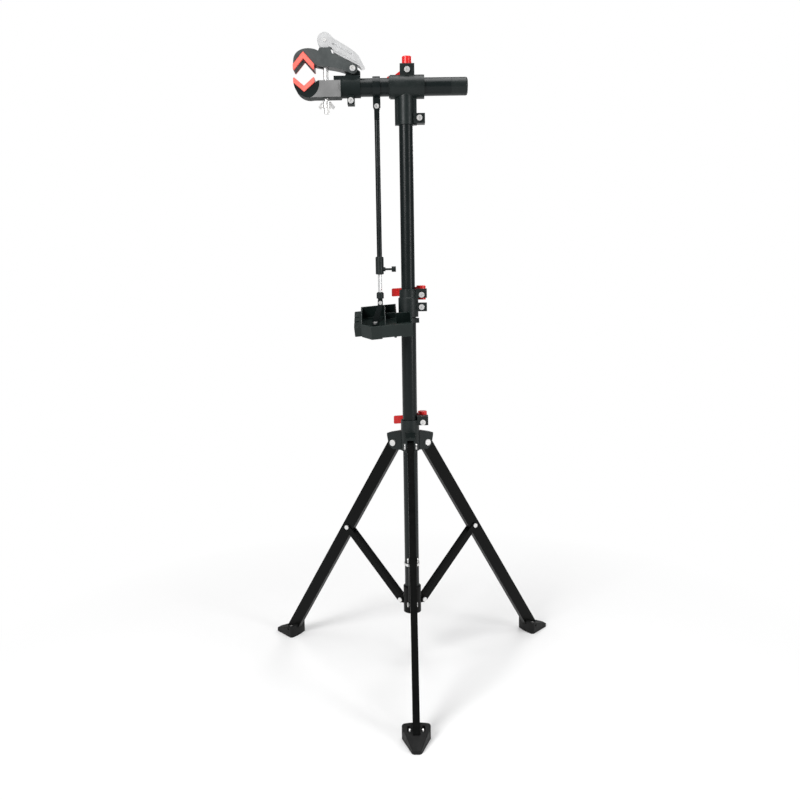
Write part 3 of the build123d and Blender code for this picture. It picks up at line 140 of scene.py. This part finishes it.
def make_finish(
    name,
    colour,
    patch,
    rough,
    patch_size=0.03,
    rough_size=0.01,
    grain_size=0.0006,
    grain_depth=0.00002,
    edge=0.0006,
    worn=None,
    wear=0.6,
    metal=0.0,
    specular=0.5,
    coat=0.0,
    coat_rough=0.1,
    zones=(),
    rim=None,
):
    """A moulded, painted, plated or rubber finish.

    Its colour is patchy, its gloss uneven and its grain fine. worn is the colour of rubbed
    edges, rim a colour painted along every edge as edge highlight and edge shade, and zones are
    regions with a colour of their own, some of them painted light.
    """
    material = bpy.data.materials.new(name)
    material.use_nodes = True
    tree = material.node_tree
    tree.nodes.clear()
    place = add_node(tree, "ShaderNodeTexCoord").outputs["Object"]
    if edge:
        smooth = add_node(tree, "ShaderNodeBevel", {"Radius": edge}, samples=BEVEL_SAMPLES)
    else:
        smooth = add_node(tree, "ShaderNodeNewGeometry")
    rounded = smooth.outputs["Normal"]
    mottle = ranged(tree, noise(tree, place, patch_size), *PATCH_SPAN, 0, 1)
    base = mixed(tree, mottle, colour, patch)
    for part in zones:
        mask = inside_box(tree, place, part["low"], part["high"])
        if "centre" in part:
            round_mask = outside_round(tree, place, part["centre"], part["radius"])
            mask = product(tree, mask, round_mask)
        base = mixed(tree, mask, base, mixed(tree, mottle, part["colour"], part["patch"]))
    if worn is not None:
        rubbed = ranged(tree, noise(tree, place, patch_size * 0.4), *WEAR_SPAN, 0, wear)
        base = mixed(tree, product(tree, edge_mask(tree, rounded, *WORN_LEAN), rubbed), base, worn)
    if rim is not None:
        base = mixed(tree, edge_mask(tree, rounded, *RIM_LEAN), base, rim)
    gloss = ranged(tree, noise(tree, place, rough_size), *GLOSS_SPAN, *rough)
    grain = noise(tree, place, grain_size, detail=2.0)
    bump = add_node(
        tree,
        "ShaderNodeBump",
        {"Height": grain, "Normal": rounded, "Strength": 1.0, "Distance": grain_depth},
    )
    shader = add_node(
        tree,
        "ShaderNodeBsdfPrincipled",
        {
            "Base Color": base,
            "Roughness": gloss,
            "Normal": bump.outputs["Normal"],
            "Metallic": metal,
            "Specular IOR Level": specular,
            "Coat Weight": coat,
            "Coat Roughness": coat_rough,
        },
    )
    out = add_node(tree, "ShaderNodeOutputMaterial")
    tree.links.new(shader.outputs["BSDF"], out.inputs["Surface"])
    return material


FINISHES = {
    "mast_paint": make_finish(
        "mast_paint",
        (0.0034, 0.006, 0.0062),
        (0.0046, 0.0078, 0.008),
        (0.27, 0.35),
        patch_size=0.16,
        grain_size=0.0011,
        grain_depth=0.000015,
        edge=0.0008,
        specular=0.2,
        coat=0.06,
        coat_rough=0.2,
    ),
    "black_plastic": make_finish(
        "black_plastic",
        (0.0052, 0.0088, 0.0086),
        (0.0078, 0.0125, 0.0122),
        (0.34, 0.46),
        patch_size=0.05,
        grain_size=0.0005,
        grain_depth=0.00002,
        edge=0.0012,
        worn=(0.045, 0.058, 0.056),
        wear=0.6,
        specular=0.28,
    ),
    "jaw_plastic": make_finish(
        "jaw_plastic",
        (0.045, 0.051, 0.051),
        (0.062, 0.069, 0.069),
        (0.3, 0.44),
        patch_size=0.03,
        grain_size=0.0005,
        grain_depth=0.000025,
        edge=0.0014,
        worn=(0.2, 0.21, 0.21),
        wear=0.5,
        specular=0.3,
    ),
    "foot_rubber": make_finish(
        "foot_rubber",
        (0.0035, 0.0038, 0.0038),
        (0.0065, 0.0068, 0.0068),
        (0.5, 0.68),
        patch_size=0.02,
        grain_size=0.0009,
        grain_depth=0.00005,
        edge=0.0016,
        worn=(0.03, 0.03, 0.03),
        wear=0.5,
        specular=0.22,
    ),
    "red_plastic": make_finish(
        "red_plastic",
        (0.66, 0.008, 0.008),
        (0.74, 0.014, 0.012),
        (0.24, 0.36),
        patch_size=0.02,
        grain_size=0.0005,
        grain_depth=0.00002,
        edge=0.0012,
        worn=(0.8, 0.08, 0.06),
        wear=0.3,
        specular=0.4,
        coat=0.2,
    ),
    "red_rubber": make_finish(
        "red_rubber",
        (0.62, 0.036, 0.028),
        (0.74, 0.058, 0.044),
        (0.42, 0.58),
        patch_size=0.015,
        grain_size=0.0008,
        grain_depth=0.00005,
        edge=0.0016,
        worn=(0.95, 0.3, 0.22),
        wear=0.7,
        specular=0.35,
    ),
    "zinc": make_finish(
        "zinc",
        (0.72, 0.725, 0.73),
        (0.8, 0.79, 0.77),
        (0.26, 0.38),
        patch_size=0.012,
        rough_size=0.006,
        grain_size=0.0006,
        grain_depth=0.000002,
        edge=0,
        metal=0.7,
    ),
    "chrome": make_finish(
        "chrome",
        (0.9, 0.905, 0.91),
        (0.86, 0.865, 0.87),
        (0.16, 0.26),
        patch_size=0.03,
        rough_size=0.012,
        grain_size=0.0008,
        grain_depth=0.000002,
        edge=0,
        metal=0.6,
    ),
}


SLOTS = {entry["node"]: entry["material_slot"] for entry in frame["record"]["subparts"]}


def dress(obj, finish):
    """Gives the whole object one finish."""
    obj.data.materials.clear()
    obj.data.materials.append(finish)


for node_name, node_object in frame["nodes"].items():
    dress(node_object, FINISHES[SLOTS[node_name]])

LEG_FINISH = make_finish(
    "leg_paint",
    (0.0016, 0.0019, 0.0018),
    (0.0024, 0.0027, 0.0025),
    (0.3, 0.4),
    patch_size=0.16,
    grain_size=0.0011,
    grain_depth=0.000015,
    edge=0.0008,
    specular=0.11,
)
TRAY_FINISH = make_finish(
    "tray_plastic",
    (0.0055, 0.0105, 0.0095),
    (0.008, 0.0145, 0.0132),
    (0.3, 0.44),
    patch_size=0.04,
    grain_size=0.0005,
    grain_depth=0.00002,
    edge=0.0014,
    specular=0.3,
    # painted highlight: a lighter colour along every edge of the tray
    rim=(0.035, 0.05, 0.047),
)
LEG_NODES = [kind + side for kind in ("leg_", "brace_") for side in ("front", "left", "right")]
for node_name in [*LEG_NODES, "bottom_collar"]:
    dress(frame["nodes"][node_name], LEG_FINISH)
dress(frame["nodes"]["tray_body"], TRAY_FINISH)

PAD_SKIN = 5 * MM  # red skin at each end of a pad's black gripping face
# depth from each pad face to which the painted light reaches
LIT_FACE_DEEP = 1.2 * MM
RED = ((0.55, 0.016, 0.014), (0.66, 0.026, 0.022))
# painted light: coral is the pads' red where the light falls full on the front and back faces
LIT_CORAL = ((0.8, 0.125, 0.098), (0.88, 0.165, 0.13))
PAD_BLACK = ((0.004, 0.005, 0.005), (0.008, 0.009, 0.009))
BLOCK_GREY = ((0.16, 0.16, 0.16), (0.21, 0.21, 0.21))
BLOCK_START = 4 * MM  # pale block's left end, right of the gripping notch's middle
BLOCK_END = 82 * MM
BLOCK_ROUND = 34.5 * MM  # the dark hook's radius about the notch

pad_low, pad_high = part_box("lower_pad")
arm_low, arm_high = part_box("arm_tube")
grip_x = (pad_low.x + pad_high.x) / 2
arm_z = (arm_low.z + arm_high.z) / 2
pad_front = pad_low.y


def zone(colours, low=(None, None, None), high=(None, None, None), **extra):
    """A region of a finish with its own colour and patch, between two corners; some are painted light.
    """
    return {"colour": colours[0], "patch": colours[1], "low": low, "high": high, **extra}


for name in ("lower_pad", "upper_pad"):
    pad_finish = make_finish(
        name + "_rubber",
        *RED,
        (0.42, 0.58),
        patch_size=0.015,
        grain_size=0.0008,
        grain_depth=0.00004,
        edge=0.0026,
        specular=0.3,
        zones=(
            zone(PAD_BLACK, (None, pad_front + PAD_SKIN, None), (None, -pad_front - PAD_SKIN, None)),
            # painted light: coral on the front face and, mirrored, on the back face
            zone(LIT_CORAL, high=(None, pad_front + LIT_FACE_DEEP, None)),
            zone(LIT_CORAL, low=(None, -pad_front - LIT_FACE_DEEP, None)),
        ),
        # painted shade: every rounded pad edge stays red, darker than the painted lit coral face
        rim=RED[1],
    )
    dress(frame["nodes"][name], pad_finish)

JAW_HALF = 20 * MM
BLOCK_LOW = -24 * MM  # from the arm's axis
BLOCK_HIGH = 14.5 * MM
block_low = [grip_x + BLOCK_START, None, arm_z + BLOCK_LOW]
block_high = [grip_x + BLOCK_END, None, arm_z + BLOCK_HIGH]
# the pale grey block is real colour on its front and back faces; its underside keeps the black as
# painted shade
block_faces = [
    (block_low, [block_high[0], MM - JAW_HALF, block_high[2]]),
    ([block_low[0], JAW_HALF - MM, block_low[2]], block_high),
]
hook_middle = (grip_x, 0, arm_z + 8 * MM)
dress(
    frame["nodes"]["lower_jaw"],
    make_finish(
        "lower_jaw_plastic",
        (0.0045, 0.0078, 0.0076),
        (0.007, 0.0112, 0.011),
        (0.42, 0.56),
        patch_size=0.05,
        grain_size=0.0005,
        grain_depth=0.00002,
        edge=0.0014,
        worn=(0.045, 0.055, 0.054),
        wear=0.5,
        specular=0.12,
        zones=tuple(
            zone(BLOCK_GREY, low, high, centre=hook_middle, radius=BLOCK_ROUND)
            for low, high in block_faces
        ),
    ),
)

# ---------------------------------------------------------------- studio and camera

FLOOR_RADIUS = 9.0
FLOOR_NEAR = 0.42
FLOOR_FAR = 1.15
WORLD_SEEN = 1.0
WORLD_LIGHT = 0.22


def make_floor():
    """A pale floor that fades into the white background away from the stand."""
    mesh = bpy.data.meshes.new("floor")
    shape = bmesh.new()
    bmesh.ops.create_circle(shape, cap_ends=True, radius=FLOOR_RADIUS, segments=96)
    shape.to_mesh(mesh)
    shape.free()
    floor = bpy.data.objects.new("floor", mesh)
    bpy.context.scene.collection.objects.link(floor)
    floor.location.z = CAD_BOX[0][2] - 0.0002
    material = bpy.data.materials.new("pale_floor")
    material.use_nodes = True
    tree = material.node_tree
    tree.nodes.clear()
    place = add_node(tree, "ShaderNodeTexCoord").outputs["Object"]
    away = add_node(tree, "ShaderNodeVectorMath", {0: place}, operation="LENGTH").outputs["Value"]
    fade = ranged(tree, away, FLOOR_NEAR, FLOOR_FAR, 0, 1)
    tone = mixed(tree, noise(tree, place, 0.4), (0.9, 0.9, 0.9), (0.93, 0.93, 0.93))
    matt = add_node(tree, "ShaderNodeBsdfDiffuse", {"Color": tone})
    glow = add_node(tree, "ShaderNodeEmission", {"Color": (1, 1, 1, 1), "Strength": WORLD_SEEN})
    both = add_node(tree, "ShaderNodeMixShader", {0: fade, 1: matt.outputs[0], 2: glow.outputs[0]})
    out = add_node(tree, "ShaderNodeOutputMaterial")
    tree.links.new(both.outputs[0], out.inputs["Surface"])
    mesh.materials.append(material)


def make_world():
    """White behind the stand, and a softer even light on it."""
    world = bpy.data.worlds.new("studio")
    world.use_nodes = True
    tree = world.node_tree
    tree.nodes.clear()
    path = add_node(tree, "ShaderNodeLightPath").outputs["Is Camera Ray"]
    soft = add_node(tree, "ShaderNodeBackground", {"Color": (1, 1, 1, 1), "Strength": WORLD_LIGHT})
    seen = add_node(tree, "ShaderNodeBackground", {"Color": (1, 1, 1, 1), "Strength": WORLD_SEEN})
    both = add_node(tree, "ShaderNodeMixShader", {0: path, 1: soft.outputs[0], 2: seen.outputs[0]})
    out = add_node(tree, "ShaderNodeOutputWorld")
    tree.links.new(both.outputs[0], out.inputs["Surface"])
    bpy.context.scene.world = world


def softbox(name, place, target, size, power):
    """A rectangular area light at place, aimed at target."""
    data = bpy.data.lights.new(name, "AREA")
    data.shape = "RECTANGLE"
    data.size, data.size_y = size
    data.energy = power
    lamp = bpy.data.objects.new(name, data)
    lamp.location = place
    lamp.rotation_euler = (Vector(target) - Vector(place)).to_track_quat("-Z", "Y").to_euler()
    lamp.visible_camera = False
    bpy.context.scene.collection.objects.link(lamp)


MIDDLE = (0, 0, 0.85)
make_floor()
make_world()
softbox("key", (-1.9, -2.5, 2.4), MIDDLE, (1.3, 1.9), 92)
softbox("fill", (2.5, -1.9, 1.5), MIDDLE, (0.7, 2.2), 34)
softbox("top", (0.1, -0.2, 3.4), MIDDLE, (1.8, 1.8), 50)
softbox("rim", (1.0, 2.7, 2.3), MIDDLE, (1.2, 1.6), 25)

CAMERA_PLACE = (-0.02475, -2.0062, 0.9477)
CAMERA_TURN = -0.045
CAMERA_DOWN = 8.11
CAMERA_ROLL = -0.876
CAMERA_LENS = 38.06

lens = bpy.data.cameras.new("camera")
lens.lens = CAMERA_LENS
lens.sensor_width = 36
lens.dof.use_dof = False
camera = bpy.data.objects.new("camera", lens)
camera.matrix_world = (
    Matrix.Translation(CAMERA_PLACE)
    @ Matrix.Rotation(radians(CAMERA_TURN), 4, "Z")
    @ Matrix.Rotation(radians(90 - CAMERA_DOWN), 4, "X")
    @ Matrix.Rotation(radians(CAMERA_ROLL), 4, "Z")
)
bpy.context.scene.collection.objects.link(camera)
bpy.context.scene.camera = camera
bpy.context.scene.view_settings.view_transform = "Standard"
